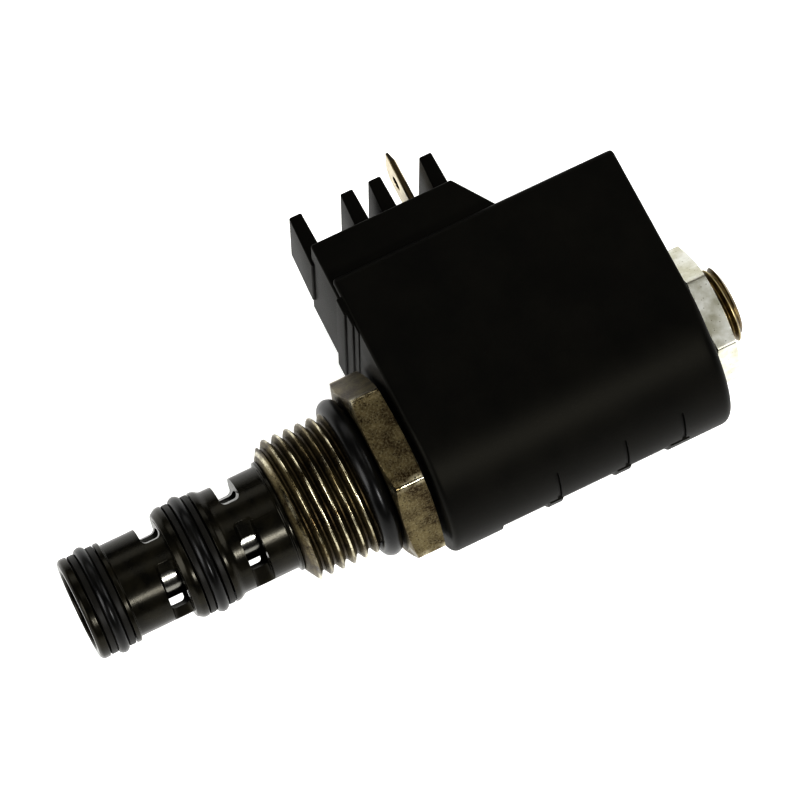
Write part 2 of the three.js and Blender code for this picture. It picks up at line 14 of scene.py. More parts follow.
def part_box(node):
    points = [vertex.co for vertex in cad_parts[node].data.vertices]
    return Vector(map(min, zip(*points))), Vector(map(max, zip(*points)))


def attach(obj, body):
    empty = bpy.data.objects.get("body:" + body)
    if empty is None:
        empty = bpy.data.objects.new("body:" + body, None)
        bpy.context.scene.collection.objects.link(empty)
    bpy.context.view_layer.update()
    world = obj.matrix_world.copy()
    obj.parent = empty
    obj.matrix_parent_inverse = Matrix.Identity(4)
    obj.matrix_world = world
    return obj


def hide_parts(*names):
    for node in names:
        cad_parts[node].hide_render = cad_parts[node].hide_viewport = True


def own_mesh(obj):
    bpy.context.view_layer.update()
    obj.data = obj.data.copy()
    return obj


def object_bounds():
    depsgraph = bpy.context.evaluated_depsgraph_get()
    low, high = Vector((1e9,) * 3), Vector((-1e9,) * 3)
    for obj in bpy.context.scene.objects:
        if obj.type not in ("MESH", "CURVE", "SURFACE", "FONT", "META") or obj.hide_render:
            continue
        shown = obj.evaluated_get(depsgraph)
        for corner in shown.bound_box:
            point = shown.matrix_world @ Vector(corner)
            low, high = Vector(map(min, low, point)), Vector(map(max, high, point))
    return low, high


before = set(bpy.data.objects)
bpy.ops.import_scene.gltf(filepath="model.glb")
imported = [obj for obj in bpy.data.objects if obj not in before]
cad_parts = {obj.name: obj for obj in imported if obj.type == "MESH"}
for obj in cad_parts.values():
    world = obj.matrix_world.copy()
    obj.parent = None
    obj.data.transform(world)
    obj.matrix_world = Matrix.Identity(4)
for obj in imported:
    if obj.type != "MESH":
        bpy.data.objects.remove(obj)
cad_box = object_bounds()


# ---- Nose cage ----------------------------------------
# The slotted steel sleeve that the spool slides in. It is turned from bar, milled through with
# two rows of three flat-bottomed ports that have rounded corners, and blackened in hot oxide,
# then oiled. Its tail is pressed into the hexagon body.

MM = 0.001


def node_box(node):
    """Lowest and highest corner of a CAD node, in millimetres."""
    low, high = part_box(node)
    return np.array(low) / MM, np.array(high) / MM


def round_corners(rows):
    """A closed outline of rows [x, r, radius, ...] whose corners become quadratic Bezier curves.

    Each curve has the corner as its control point and starts and ends one radius along the two
    straight sides. Columns after the radius are copied to every point of their corner. A point
    is added a little way along each side, which keeps the shading of the straight side flat.
    """
    curve_points, widest_share, hold, hold_share = 4, 0.42, 0.07, 0.1
    corner = rows[:, :2]
    back = np.roll(corner, 1, 0) - corner
    ahead = np.roll(corner, -1, 0) - corner
    back_length = np.maximum(np.linalg.norm(back, axis=1), 1e-9)
    ahead_length = np.maximum(np.linalg.norm(ahead, axis=1), 1e-9)
    shorter = np.minimum(back_length, ahead_length)
    reach = np.minimum(rows[:, 2], widest_share * shorter)
    grip = np.where(rows[:, 2] > 0, np.minimum(hold, hold_share * shorter), 0)
    back = back / back_length[:, None]
    ahead = ahead / ahead_length[:, None]
    start = corner + back * reach[:, None]
    end = corner + ahead * reach[:, None]
    t = np.linspace(0, 1, curve_points)[None, :, None]
    curve = (1 - t) ** 2 * start[:, None] + 2 * t * (1 - t) * corner[:, None] + t ** 2 * end[:, None]
    before = (start + back * grip[:, None])[:, None]
    after = (end + ahead * grip[:, None])[:, None]
    points = np.concatenate([before, curve, after], 1)
    extra = np.repeat(rows[:, None, 3:], points.shape[1], 1)
    return np.concatenate([points, extra], 2).reshape(-1, rows.shape[1] - 1)


def grid_quads(rows, columns, close_rows=False, close_columns=False):
    """Corner numbers of the quads of a grid of rows by columns, as an (n, 4) array."""
    i, j = np.meshgrid(
        np.arange(rows if close_rows else rows - 1),
        np.arange(columns if close_columns else columns - 1),
        indexing="ij",
    )
    next_i, next_j = (i + 1) % rows, (j + 1) % columns
    corners = [i * columns + j, next_i * columns + j, next_i * columns + next_j, i * columns + next_j]
    return np.stack(corners, -1).reshape(-1, 4)


def about_axis(x, r, angle):
    """Points [x, r cos angle, r sin angle], for arrays that broadcast to one grid."""
    x, r, angle = np.broadcast_arrays(x, r, angle)
    return np.stack([x, r * np.cos(angle), r * np.sin(angle)], -1).reshape(-1, 3)


def add_object(name, data):
    """Puts a new object that holds that mesh, lamp or camera in the scene."""
    made = bpy.data.objects.new(name, data)
    bpy.context.scene.collection.objects.link(made)
    return made


def add_piece(name, points, faces, body, slot, material, replaced, wear_and_shade=None, sharp_deg=38):
    """The faces are an array of corner numbers, or a list of such arrays."""
    weld_distance, shortest_edge = 2e-7, 1e-8
    blocks = faces if isinstance(faces, list) else [faces]
    mesh = bpy.data.meshes.new(name)
    mesh.from_pydata(points * MM, [], [face for block in blocks for face in block.tolist()])
    # The mesh's own number at every point: wear on the hexagon body and the stud, painted shade on the
    # nut's corners and the terminal's edges.
    if wear_and_shade is not None:
        values = wear_and_shade.astype(np.float32).ravel()
        mesh.attributes.new("wear_and_shade", "FLOAT", "POINT").data.foreach_set("value", values)
    weld = bmesh.new()
    weld.from_mesh(mesh)
    unused = [vert for vert in weld.verts if not vert.link_faces]
    bmesh.ops.delete(weld, geom=unused, context="VERTS")
    bmesh.ops.remove_doubles(weld, verts=weld.verts, dist=weld_distance)
    bmesh.ops.dissolve_degenerate(weld, edges=weld.edges, dist=shortest_edge)
    bmesh.ops.recalc_face_normals(weld, faces=weld.faces)
    weld.to_mesh(mesh)
    weld.free()
    mesh.polygons.foreach_set("use_smooth", np.ones(len(mesh.polygons), bool))
    mesh.set_sharp_from_angle(angle=math.radians(sharp_deg))
    mesh.materials.append(material)
    piece = add_object(name, mesh)
    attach(piece, body)
    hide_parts(*replaced)
    return piece


class Wire:
    """A shader socket used as a value. Operators add Math nodes, and node() adds any other."""

    def __init__(self, tree, socket):
        self.tree = tree
        self.socket = socket

    def node(self, kind, settings=None, inputs=None, output=0):
        """Adds a node, sets its settings first and then its inputs, and gives one output."""
        made = self.tree.nodes.new("ShaderNode" + kind)
        for key, value in (settings or {}).items():
            setattr(made, key, value)
        for key, value in (inputs or {}).items():
            if isinstance(value, Wire):
                self.tree.links.new(value.socket, made.inputs[key])
            else:
                made.inputs[key].default_value = value
        return Wire(self.tree, made.outputs[output])

    def math(self, operation, *values, clamp=False):
        return self.node("Math", {"operation": operation, "use_clamp": clamp}, dict(enumerate(values)))

    def __add__(self, other):
        return self.math("ADD", self, other)

    def __sub__(self, other):
        return self.math("SUBTRACT", self, other)

    def __rsub__(self, other):
        return self.math("SUBTRACT", other, self)

    def __mul__(self, other):
        return self.math("MULTIPLY", self, other)

    __radd__ = __add__
    __rmul__ = __mul__

    def held(self):
        """The value kept between 0 and 1."""
        return self.math("ADD", self, 0, clamp=True)

    def wear_and_shade_value(self):
        """The mesh's number at every point: the wear of the surface, and on the nut and the terminal the
        painted shade.
        """
        return self.node("Attribute", {"attribute_name": "wear_and_shade"}, output=2)

    def noise(self, scale, detail=3.0, rough=0.6, stretch=(1, 1, 1)):
        """Noise on these coordinates, with about that many cells in a metre."""
        mapped = self.node("Mapping", inputs={"Vector": self, "Scale": stretch})
        return self.node("TexNoise", inputs={
            "Vector": mapped, "Scale": scale, "Detail": detail, "Roughness": rough,
        })

    def spots(self, scale, low, high):
        """1 at the middle of scattered round spots and 0 between them."""
        return self.node("TexVoronoi", inputs={"Vector": self, "Scale": scale}).between(high, low)

    def between(self, low, high):
        """0 at low, 1 at high, a straight ramp between them and level beyond both."""
        return self.node("MapRange", inputs={
            "Value": self, "From Min": low, "From Max": high, "To Min": 0.0, "To Max": 1.0,
        })

    def mix(self, first, second):
        """The first colour where this value is 0 and the second where it is 1."""
        factor, first_color, second_color, color_out = 0, 6, 7, 2
        inputs = {
            factor: self,
            first_color: first if isinstance(first, Wire) else (*first, 1),
            second_color: second if isinstance(second, Wire) else (*second, 1),
        }
        return self.node("Mix", {"data_type": "RGBA"}, inputs, color_out)


def finish(name, constants, build):
    """A material whose shader has those constant sockets. build takes the Object coordinates as a
    Wire, and gives the varying sockets by name, with Bump as (height, strength, distance)."""
    material = bpy.data.materials.new(name)
    material.use_nodes = True
    tree = material.node_tree
    shader = tree.nodes["Principled BSDF"]
    for key, value in constants.items():
        shader.inputs[key].default_value = value
    place = tree.nodes.new("ShaderNodeTexCoord")
    varying = build(Wire(tree, place.outputs["Object"]))
    if "Bump" in varying:
        height, strength, distance = varying.pop("Bump")
        varying["Normal"] = height.node("Bump", inputs={
            "Height": height, "Strength": strength, "Distance": distance,
        })
    for key, value in varying.items():
        tree.links.new(value.socket, shader.inputs[key])
    return material


def blackened(place):
    blotch = place.noise(420, 4)
    grain = place.noise(6500, 2)
    turning = place.noise(900, 2, stretch=(12, 0.4, 0.4))
    color = blotch.between(0.35, 0.7).mix((0.0035, 0.0033, 0.0025), (0.012, 0.0105, 0.0065))
    return {
        "Base Color": color,
        "Roughness": 0.12 + 0.14 * blotch + 0.08 * grain,
        "Bump": (turning + 0.5 * grain, 0.3, 0.00002),
    }


black_oxide = finish("black_oxide_steel", {
    "Specular IOR Level": 0.15, "Specular Tint": (1.0, 0.95, 0.80, 1),
}, blackened)


def groove(ring, room):
    """The left and right walls of an O-ring's groove, with that much room on both its sides."""
    low, high = node_box(ring)
    return low[0] - room, high[0] + room


cage_low, cage_high = node_box("nose_cage")
nose_x, cage_end_x = cage_low[0], cage_high[0]
body_left_x = node_box("hex_body")[0][0]
bore_r = 5.25
tail_r = 6.6
tail_x = body_left_x - 0.05
shoulder_r, rear_r, front_r, front_land_r = 7.45, 6.95, 6.25, 6.75
middle_groove, middle_floor_r = groove("middle_o_ring", 1.05), 6.2
nose_groove, nose_floor_r = groove("nose_o_ring", 1.1), 5.9
collar_left_x = middle_groove[0] - 1.55

port_half, port_corner, wall_foot, corner_rows = 1.3, 0.7, 5.1, 6
ports = [(-28.8, 4.4, front_r), (-17.9, 4.6, rear_r)]  # centre, floor of the cut, outer radius
port_angles = np.radians(20.5 + 120 * np.arange(3))

PLAIN, CUT, BORE = 0, 1, 3  # a row of the first port has that kind, and one of the second has the next


def port_floor(number):
    """Rows [x, height] of a port's floor from left to right, with quarter circles in its corners."""
    x, floor, _ = ports[number]
    turn = np.linspace(0, np.pi / 2, corner_rows)
    inward = port_corner * (1 - np.cos(turn))
    height = np.minimum(floor + port_corner * (1 - np.sin(turn)), wall_foot)
    left = np.stack([x - port_half + inward, height], -1)
    right = np.stack([x + port_half - inward, height], -1)
    return np.concatenate([left, right[::-1]])


def port_rows(number):
    """The rows of the outer surface where a port is cut, from right to left."""
    x, _, outer = ports[number]
    floor = [[place, outer, 0, CUT + number, height] for place, height in port_floor(number)[::-1]]
    return [[x + port_half, outer, 0, PLAIN, 0], *floor, [x - port_half, outer, 0, PLAIN, 0]]


def bore_rows(number):
    """The rows of the bore that lie under a port, from left to right."""
    return [[place, bore_r, 0, BORE + number, height] for place, height in port_floor(number)]


# Rows [x, radius, corner radius, kind, floor of the port there]: the bore from left to right, then
# the outside from right to left.
cage_rows = np.array([
    [nose_x, bore_r + 0.25, 0.12, 0, 0],
    [nose_x + 0.25, bore_r, 0.12, 0, 0],
    *bore_rows(0),
    *bore_rows(1),
    [cage_end_x, bore_r, 0.05, 0, 0],
    [cage_end_x, tail_r, 0.1, 0, 0],
    [tail_x, tail_r, 0.05, 0, 0],
    [tail_x, shoulder_r, 0.12, 0, 0],
    [tail_x - 0.4, shoulder_r, 0.1, 0, 0],
    [tail_x - 0.6, rear_r, 0.15, 0, 0],
    *port_rows(1),
    [middle_groove[1] + 1.4, rear_r, 0.3, 0, 0],
    [middle_groove[1] + 0.6, shoulder_r, 0.25, 0, 0],
    [middle_groove[1], shoulder_r, 0.1, 0, 0],
    [middle_groove[1], middle_floor_r, 0.1, 0, 0],
    [middle_groove[0], middle_floor_r, 0.1, 0, 0],
    [middle_groove[0], shoulder_r + 0.05, 0.12, 0, 0],
    [middle_groove[0] - 0.7, shoulder_r + 0.05, 0.25, 0, 0],
    [collar_left_x, rear_r, 0.2, 0, 0],
    [collar_left_x, front_r, 0.1, 0, 0],
    *port_rows(0),
    [nose_groove[1] + 0.75, front_r, 0.1, 0, 0],
    [nose_groove[1] + 0.6, front_land_r, 0.12, 0, 0],
    [nose_groove[1], front_land_r, 0.1, 0, 0],
    [nose_groove[1], nose_floor_r, 0.1, 0, 0],
    [nose_groove[0], nose_floor_r, 0.1, 0, 0],
    [nose_groove[0], front_land_r + 0.05, 0.15, 0, 0],
    [nose_x + 0.35, front_land_r + 0.05, 0.3, 0, 0],
    [nose_x, front_land_r - 0.4, 0.15, 0, 0],
], float)


def outer_columns(nearest):
    """Angles from a port's middle, from nearest to half a port's share of the circle, with one
    exactly where each row of a port's floor runs out at the outer surface."""
    even_count, too_close = 13, 0.005
    run_out = [np.arccos(port_floor(n)[:corner_rows, 1] / ports[n][2]) for n in range(len(ports))]
    exact = np.unique(np.concatenate(run_out))
    even = np.linspace(nearest, np.pi / len(port_angles), even_count)
    apart = np.abs(even[:, None] - exact[None, :]).min(1) > too_close
    apart[[0, -1]] = True
    return np.sort(np.concatenate([exact, even[apart]]))


def cut_cage():
    """Radius = the turned outline, lowered in each cut to height / cos(angle from the port's
    middle), but never below the bore. The columns draw together at each port so that one runs
    along the edge of its opening, at arccos(height / bore). Faces over the opening are left out."""
    across_count, nearest = 15, np.radians(34.5)
    rows = round_corners(cage_rows)
    rows = rows[np.append(True, np.abs(np.diff(rows, axis=0)).sum(1) > 1e-9)]
    kind, height = rows[:, 2], rows[:, 3]
    resting = np.arccos(wall_foot / bore_r)
    half_open = np.where(kind > PLAIN, np.arccos(np.clip(height / bore_r, 0, 1)), resting)[:, None]
    across = half_open * np.linspace(-1, 1, across_count)
    beside = half_open + (nearest - half_open) * np.array([0.25, 0.5, 0.75])
    outside = outer_columns(nearest) * np.ones((len(rows), 1))
    offset = np.concatenate([-outside[:, ::-1], -beside[:, ::-1], across, beside, outside[:, :-1]], 1)
    angle = (port_angles[:, None] + offset[:, None, :]).reshape(len(rows), -1)
    chord = np.tile(height[:, None] / np.cos(offset), len(port_angles))
    outline = rows[:, 1:2] * np.ones_like(chord)
    is_cut = (kind == CUT) | (kind == CUT + 1)
    radius = np.where(is_cut[:, None], np.clip(chord, bore_r, outline), outline)
    quads = grid_quads(len(rows), angle.shape[1], True, True)
    first = outside.shape[1] + beside.shape[1]
    column = np.arange(offset.shape[1])
    over_port = (column >= first) & (column < first + across_count - 1)
    spans = (kind > PLAIN) & (kind == np.roll(kind, -1))
    is_open = spans[:, None] & np.tile(over_port, len(port_angles))[None, :]
    return about_axis(rows[:, 0:1], radius, angle), quads[~is_open.ravel()]


add_piece("slotted_nose_cage", *cut_cage(), "cartridge", "black_steel", black_oxide, ["nose_cage"])


# ---- Seals --------------------------------------------
# Nitrile O-rings, each moulded with a thin flash line round it, and scarfed back-up rings of
# filled PTFE on both sides of the two nose rings. They are stretched over the cage into their
# glands, and the largest ring seals under the hexagon.

def rubber_look(place):
    dust = place.noise(2600, 3)
    film = place.noise(350, 2)
    return {
        "Base Color": film.between(0.3, 0.75).mix((0.0025, 0.0025, 0.0025), (0.008, 0.0075, 0.0065)),
        "Roughness": 0.2 + 0.22 * film,
        "Bump": (dust, 0.2, 0.00003),
    }


def backup_look(place):
    streak = place.noise(1500, 3, stretch=(4, 1, 1))
    return {
        "Base Color": streak.mix((0.004, 0.0037, 0.003), (0.014, 0.0125, 0.0095)),
        "Roughness": 0.38 + 0.2 * streak,
        "Bump": (streak, 0.2, 0.00002),
    }


nitrile = finish("nitrile_rubber", {"Specular IOR Level": 0.2}, rubber_look)
filled_ptfe = finish("filled_ptfe", {"Specular IOR Level": 0.18}, backup_look)


def o_ring(low, high, inner_r):
    """x = middle + half width cos a, r = middle radius + half height sin a, with a small raised
    line of flash where a is a quarter turn. The ring wanders a little along X, twice in a turn."""
    around, across = 160, 36
    flash_height, flash_width, wander = 0.02, 0.09, 0.03
    a = np.linspace(0, 2 * np.pi, across, endpoint=False)[:, None]
    angle = np.linspace(0, 2 * np.pi, around, endpoint=False)[None, :]
    outer_r = high[1]
    flash = flash_height * np.exp(-((a - np.pi / 2) / flash_width) ** 2)
    lay = wander * np.sin(2 * angle + low[0])
    x = (low[0] + high[0]) / 2 + (high[0] - low[0]) / 2 * np.cos(a) + lay
    r = (inner_r + outer_r) / 2 + (outer_r - inner_r) / 2 * np.sin(a) + flash
    return about_axis(x, r, angle), grid_quads(across, around, True, True)


def carried_round(rows, around):
    """A closed outline of rows [x, r] turned about the axis, with that many points in a turn."""
    angle = np.linspace(0, 2 * np.pi, around, endpoint=False)[None, :]
    return about_axis(rows[:, 0:1], rows[:, 1:2], angle), grid_quads(len(rows), around, True, True)


def backup_ring(low, high, inner_r):
    """A ring of square section with softened corners, carried round the axis."""
    inner_corner, outer_corner = 0.08, 0.18
    return carried_round(round_corners(np.array([
        [low[0], inner_r, inner_corner], [high[0], inner_r, inner_corner],
        [high[0], high[1], outer_corner], [low[0], high[1], outer_corner],
    ])), 144)


nose_ring_r, middle_ring_r, seat_ring_r = nose_floor_r + 0.05, middle_floor_r + 0.05, 8.35
for seal, inner_r in [
    ("nose_o_ring", nose_ring_r), ("middle_o_ring", middle_ring_r), ("seat_o_ring", seat_ring_r),
]:
    add_piece(seal.replace("o_ring", "nitrile_ring"), *o_ring(*node_box(seal), inner_r), "cartridge",
              "seal_rubber", nitrile, [seal])
for gland, inner_r in [("nose", nose_ring_r), ("middle", middle_ring_r)]:
    for side in ("front", "rear"):
        node = f"{gland}_backup_ring_{side}"
        add_piece(f"{gland}_{side}_ptfe_ring", *backup_ring(*node_box(node), inner_r), "cartridge",
                  "backup_plastic", filled_ptfe, [node])


# ---- Hexagon body -------------------------------------
# The steel body that carries the right-handed cavity thread and the spanner hexagon in one
# piece. It is turned and thread-rolled from hexagon bar, then zinc plated, and the plating has
# gone brown and blotchy, with bright worn metal on the crests, corners and chamfers.

def soft_ramp(z):
    """A ramp from 0 to 1 with rounded ends: (sqrt(z^2 + e^2) - sqrt((z - 1)^2 + e^2) + 1) / 2."""
    ease = 0.05
    return 0.5 * (np.sqrt(z ** 2 + ease ** 2) - np.sqrt((z - 1) ** 2 + ease ** 2) + 1)


def thread_rows(left, right, pitch, crest_at, root_r, crest_r, angle, per_pitch):
    """A right-handed thread: each row follows the helix x = start + pitch * angle / full turn and
    is held between the two ends. Radius = root + depth * ramp of the distance from the crest, which
    falls along a flank and reaches the root at the foot, both measured in pitches."""
    foot, flank = 0.41, 0.345
    count = int(math.ceil((right - left) / pitch) + 1) * per_pitch + 1
    start = left - pitch + pitch / per_pitch * np.arange(count)
    climb = pitch * angle[None, :] / (2 * np.pi)
    x = np.clip(start[:, None] + climb, left, right)
    away = np.abs((x - climb - crest_at + pitch / 2) % pitch - pitch / 2) / pitch
    height = soft_ramp((foot - away) / flank)
    return x, root_r + (crest_r - root_r) * height, height


def hexagon_r(flat_r, angle, turn=0.0):
    """Distance to a hexagon with slightly rounded corners: (sum of (cos(angle - flat) / flat_r)
    to the power p) to the power -1/p, over the six flats."""
    power = 90
    flats = turn + np.radians(30 + 60 * np.arange(6))
    toward = np.maximum(np.cos(angle[:, None] - flats[None, :]), 0) / flat_r
    return (toward ** power).sum(1) ** (-1 / power)


def hexagon_columns(per_flat, turn=0.0):
    """Angles of a full turn, both ends included, that crowd together at the corners."""
    crowding = 0.86
    t = np.arange(6 * per_flat + 1) / per_flat
    return turn + np.pi / 3 * (t - crowding * np.sin(2 * np.pi * t) / (2 * np.pi))


def chamfered(hexagon, ring_r, left, right, left_chamfer, right_chamfer):
    """x and r of a hexagon's rows: r is the smaller of the hexagon and a cone, which opens from
    the ring on each face to the corners over the chamfer's length."""
    cut = np.linspace(0, 1, 9)[:, None]
    cone = ring_r + cut * (hexagon.max() - ring_r)
    x = np.concatenate([left + left_chamfer * cut, right - right_chamfer * cut[::-1]])
    return x * np.ones_like(hexagon), np.minimum(hexagon, np.concatenate([cone, cone[::-1]]))


def plated_look(place):
    wear_and_shade = place.wear_and_shade_value()
    stain = place.noise(330, 5, 0.65)
    fine = place.noise(3800, 3)
    streak = place.noise(1200, 3, stretch=(0.5, 2.2, 2.2))
    pits = place.spots(2300, 0.12, 0.3)
    dull = stain.between(0.38, 0.62).mix((0.028, 0.018, 0.008), (0.13, 0.107, 0.058))
    speckled = (fine.between(0.45, 0.75) * 0.7).mix(dull, (0.21, 0.185, 0.118))
    # Darker brown where the mesh's number is low: in the thread roots, the bore, the relief groove and
    # the end face.
    roots_darkened = wear_and_shade.between(-0.15, 0.35).mix((0.018, 0.012, 0.006), speckled)
    patches = place.noise(230, 2).between(0.42, 0.6)
    rubbed = (wear_and_shade.between(0.8, 1.0) * patches * streak.between(0.2, 0.5)).mix(roots_darkened, (0.58, 0.54, 0.40))
    color = (pits * 0.7).mix(rubbed, (0.02, 0.014, 0.008))
    return {
        "Base Color": color,
        "Roughness": (0.46 - 0.2 * wear_and_shade.between(0.7, 1.0) + 0.2 * (fine - 0.5)).held(),
        "Bump": (fine + 0.6 * streak + 0.8 * (1 - pits), 0.4, 0.00004),
    }


aged_zinc = finish("aged_zinc_plate", {"Metallic": 1.0}, plated_look)

hex_low, hex_high = node_box("hex_body")
flat_r = hex_high[2]
hex_end_x = hex_high[0]
thread_pitch = 1.5875
thread_right_x = -2.6
crest_r, root_r, relief_r, lead_r = 9.5, 8.55, 8.3, 7.55
crest_x, crest_turn = -9.822, 195.1 / 360  # a crest's place, and how far round the axis it is there
face_r = 0.985 * flat_r
socket_r = tail_r + 0.05
web_x, web_r = -5.6, 3.0
tube_r = node_box("guide_tube")[1][1] + 0.05
seat_x = node_box("guide_tube")[0][0] - 0.05


def hex_body():
    """One grid of rows by angle: bore, lead-in cone, helical thread, relief, hexagon, end face.
    The hexagon wears most at its corners, from a share of the flats' distance on."""
    left_x, lead_slope, wear_from, wear_span = hex_low[0], 1.6, 1.075, 0.07
    angle = hexagon_columns(44)
    plain = np.ones_like(angle)[None, :]
    thread_x, thread_r, height = thread_rows(
        left_x + 0.35, thread_right_x, thread_pitch, crest_x - thread_pitch * crest_turn,
        root_r, crest_r, angle, 22,
    )
    thread_r = np.minimum(thread_r, lead_r + lead_slope * (thread_x - left_x))
    hexagon = hexagon_r(flat_r, angle)[None, :]
    flats_x, flats_r = chamfered(hexagon, face_r, 0.0, hex_end_x, 0.5, 0.25)
    bore = np.array([
        [seat_x + 1, tube_r], [seat_x, tube_r], [seat_x, web_r], [web_x, web_r],
        [web_x, socket_r], [left_x, socket_r], [left_x, lead_r - 0.05],
    ])
    relief = np.array([[thread_right_x + 0.1, relief_r], [-0.25, relief_r], [0.0, relief_r + 0.25]])
    blocks = [  # x, radius, wear
        (bore[:, 0:1] * plain, bore[:, 1:2] * plain, 0.0),
        (thread_x, thread_r, height),
        (relief[:, 0:1] * plain, relief[:, 1:2] * plain, 0.0),
        (0.0 * plain, (face_r - 0.3) * plain, 0.5),
        (flats_x, flats_r, 0.85),
        (hex_end_x * plain, tube_r * plain, 0.0),
    ]
    x = np.concatenate([block[0] for block in blocks])
    r = np.concatenate([block[1] for block in blocks])
    wear_and_shade = np.concatenate([np.broadcast_to(wear_and_shade_value, places.shape) for places, _, wear_and_shade_value in blocks])
    near_corner = np.clip((hexagon / flat_r - wear_from) / wear_span, 0, 1)
    on_hexagon = (x >= 0) & (r > face_r + 0.05)
    wear_and_shade = np.where(on_hexagon, 0.55 + 0.45 * near_corner, wear_and_shade)
    return about_axis(x, r, angle), grid_quads(len(x), len(angle), True, False), wear_and_shade


hex_points, hex_quads, hex_worn = hex_body()
add_piece("threaded_hexagon_body", hex_points, hex_quads, "cartridge", "plated_steel", aged_zinc,
          ["hex_body"], wear_and_shade=hex_worn, sharp_deg=32)


# ---- Spool --------------------------------------------
# The hardened steel spool that opens and closes the ports. It is ground and lapped to a mirror
# on its lands, with a deep waist between them, and slides in the cage with no seal.

def ground_look(place):
    ring = place.noise(2400, 2, stretch=(10, 0.3, 0.3))
    return {
        "Base Color": ring.mix((0.11, 0.108, 0.098), (0.23, 0.225, 0.205)),
        "Roughness": 0.12 + 0.14 * ring,
        "Bump": (ring, 0.1, 0.00001),
    }


lapped_steel = finish("lapped_steel", {"Metallic": 1.0}, ground_look)
spool_low, spool_high = node_box("spool")


def spool():
    """The outline of the bore, the link's slot, and the lands with their balance grooves and the
    deep waist, carried round the axis."""
    left, right, land_r, waist_r = spool_low[0], spool_high[0], spool_high[1], 3.5
    centre_bore_r, slot_r, slot_depth = 1.8, 0.8, 5.4
    groove_half, groove_depth, groove_slope = 0.15, 0.25, 0.03
    waist_left, waist_right, waist_slope = -29.9, -15.6, 0.3
    grooves = [row for x in (-11.3, -12.6, -13.9) for row in (
        [x + groove_half, land_r, 0],
        [x + groove_half - groove_slope, land_r - groove_depth, 0.05],
        [x - groove_half + groove_slope, land_r - groove_depth, 0.05],
        [x - groove_half, land_r, 0],
    )]
    rows = [
        [left, centre_bore_r, 0.1],
        [right - slot_depth, centre_bore_r, 0.1],
        [right - slot_depth, slot_r, 0.1],
        [right, slot_r, 0.1],
        [right, land_r, 0.1],
        *grooves,
        [waist_right + waist_slope, land_r, 0.08],
        [waist_right, waist_r, 0.3],
        [waist_left, waist_r, 0.3],
        [waist_left - waist_slope, land_r, 0.08],
        [left + 0.2, land_r, 0.05],
        [left, land_r - 0.2, 0.05],
    ]
    return carried_round(round_corners(np.array(rows)), 144)


add_piece("ground_spool", *spool(), "spool_train", "bright_steel", lapped_steel, ["spool"])


# ---- Inner train and magnet parts ---------------------
# The link, plunger, guide tube, flux washers, yoke and bobbin keep their CAD shapes. They are
# turned, drawn or pressed, and sit sealed inside the cartridge or moulded into the coil.

def coat(node, material):
    """Gives a CAD node that material."""
    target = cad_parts[node]
    target.data.materials.clear()
    target.data.materials.append(material)


def machined(name, dark, light, rough, metallic=1.0):
    """A turned or pressed surface with faint tool rings between two close colours."""
    def look(place):
        rings = place.noise(1800, 3, stretch=(8, 0.5, 0.5))
        return {
            "Base Color": rings.mix(dark, light),
            "Roughness": rough + 0.15 * rings,
            "Bump": (rings, 0.2, 0.00002),
        }
    return finish(name, {"Metallic": metallic}, look)


coat("spool_link", lapped_steel)
coat("plunger", machined("turned_soft_iron", (0.40, 0.40, 0.38), (0.56, 0.56, 0.53), 0.3))
coat("guide_tube", machined("drawn_tube_steel", (0.50, 0.49, 0.46), (0.66, 0.65, 0.61), 0.25))
pressed_sheet = machined("pressed_sheet_steel", (0.22, 0.22, 0.21), (0.34, 0.34, 0.32), 0.42)
for plate in ("flux_washer_left", "flux_washer_right", "yoke"):
    coat(plate, pressed_sheet)
coat("bobbin", machined("bobbin_nylon", (0.02, 0.02, 0.019), (0.04, 0.04, 0.036), 0.5, 0.0))


# ---- Return spring ------------------------------------
# A helical compression spring of drawn wire with closed ends. It stands between the plunger's
# pocket and the pole piece and pushes the train back to the nose.

def spring_tube(left, right, coil_r, wire_r, turns, closed_turns):
    """The centreline runs from left to right at radius coil_r, with the pitch eased to the wire's
    own width over the closed turns. Each point of it carries a ring of points across it."""
    per_turn, sides, easing_turns = 40, 12, 0.6
    t = np.linspace(0, turns, turns * per_turn + 1)
    closed_pace = 2 * wire_r * turns / (right - left)
    from_end = np.minimum(t, turns - t)
    opened = np.clip((from_end - closed_turns) / easing_turns, 0, 1)
    pace = closed_pace + (1 - closed_pace) * opened
    climb = np.concatenate([[0], np.cumsum((pace[1:] + pace[:-1]) / 2)])
    x = left + (right - left) * climb / climb[-1]
    angle = 2 * np.pi * t
    line = np.stack([x, coil_r * np.cos(angle), coil_r * np.sin(angle)], -1)
    ahead = np.gradient(line, axis=0)
    ahead /= np.linalg.norm(ahead, axis=1, keepdims=True)
    outward = np.stack([np.zeros_like(x), np.cos(angle), np.sin(angle)], -1)
    side = np.cross(ahead, outward)
    around = np.linspace(0, 2 * np.pi, sides, endpoint=False)[None, :, None]
    offset = np.cos(around) * outward[:, None] + np.sin(around) * side[:, None]
    points = (line[:, None] + wire_r * offset).reshape(-1, 3)
    caps = np.array([np.arange(sides), np.arange(len(points) - sides, len(points))])
    return points, [grid_quads(len(line), sides, False, True), caps]


spring_low, spring_high = node_box("return_spring")
spring_steel = machined("drawn_spring_wire", (0.24, 0.24, 0.24), (0.42, 0.42, 0.41), 0.3)
spring_r, wire_r, coil_turns, closed_turns, end_room = 2.7, 0.4, 8, 1.0, 0.45
spring_points, spring_faces = spring_tube(
    spring_low[0] + end_room, spring_high[0] - end_room, spring_r, wire_r, coil_turns, closed_turns,
)
spring = add_piece("coil_return_spring", spring_points, spring_faces, "spool_train", "spring_steel",
                   spring_steel, ["return_spring"])
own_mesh(spring)


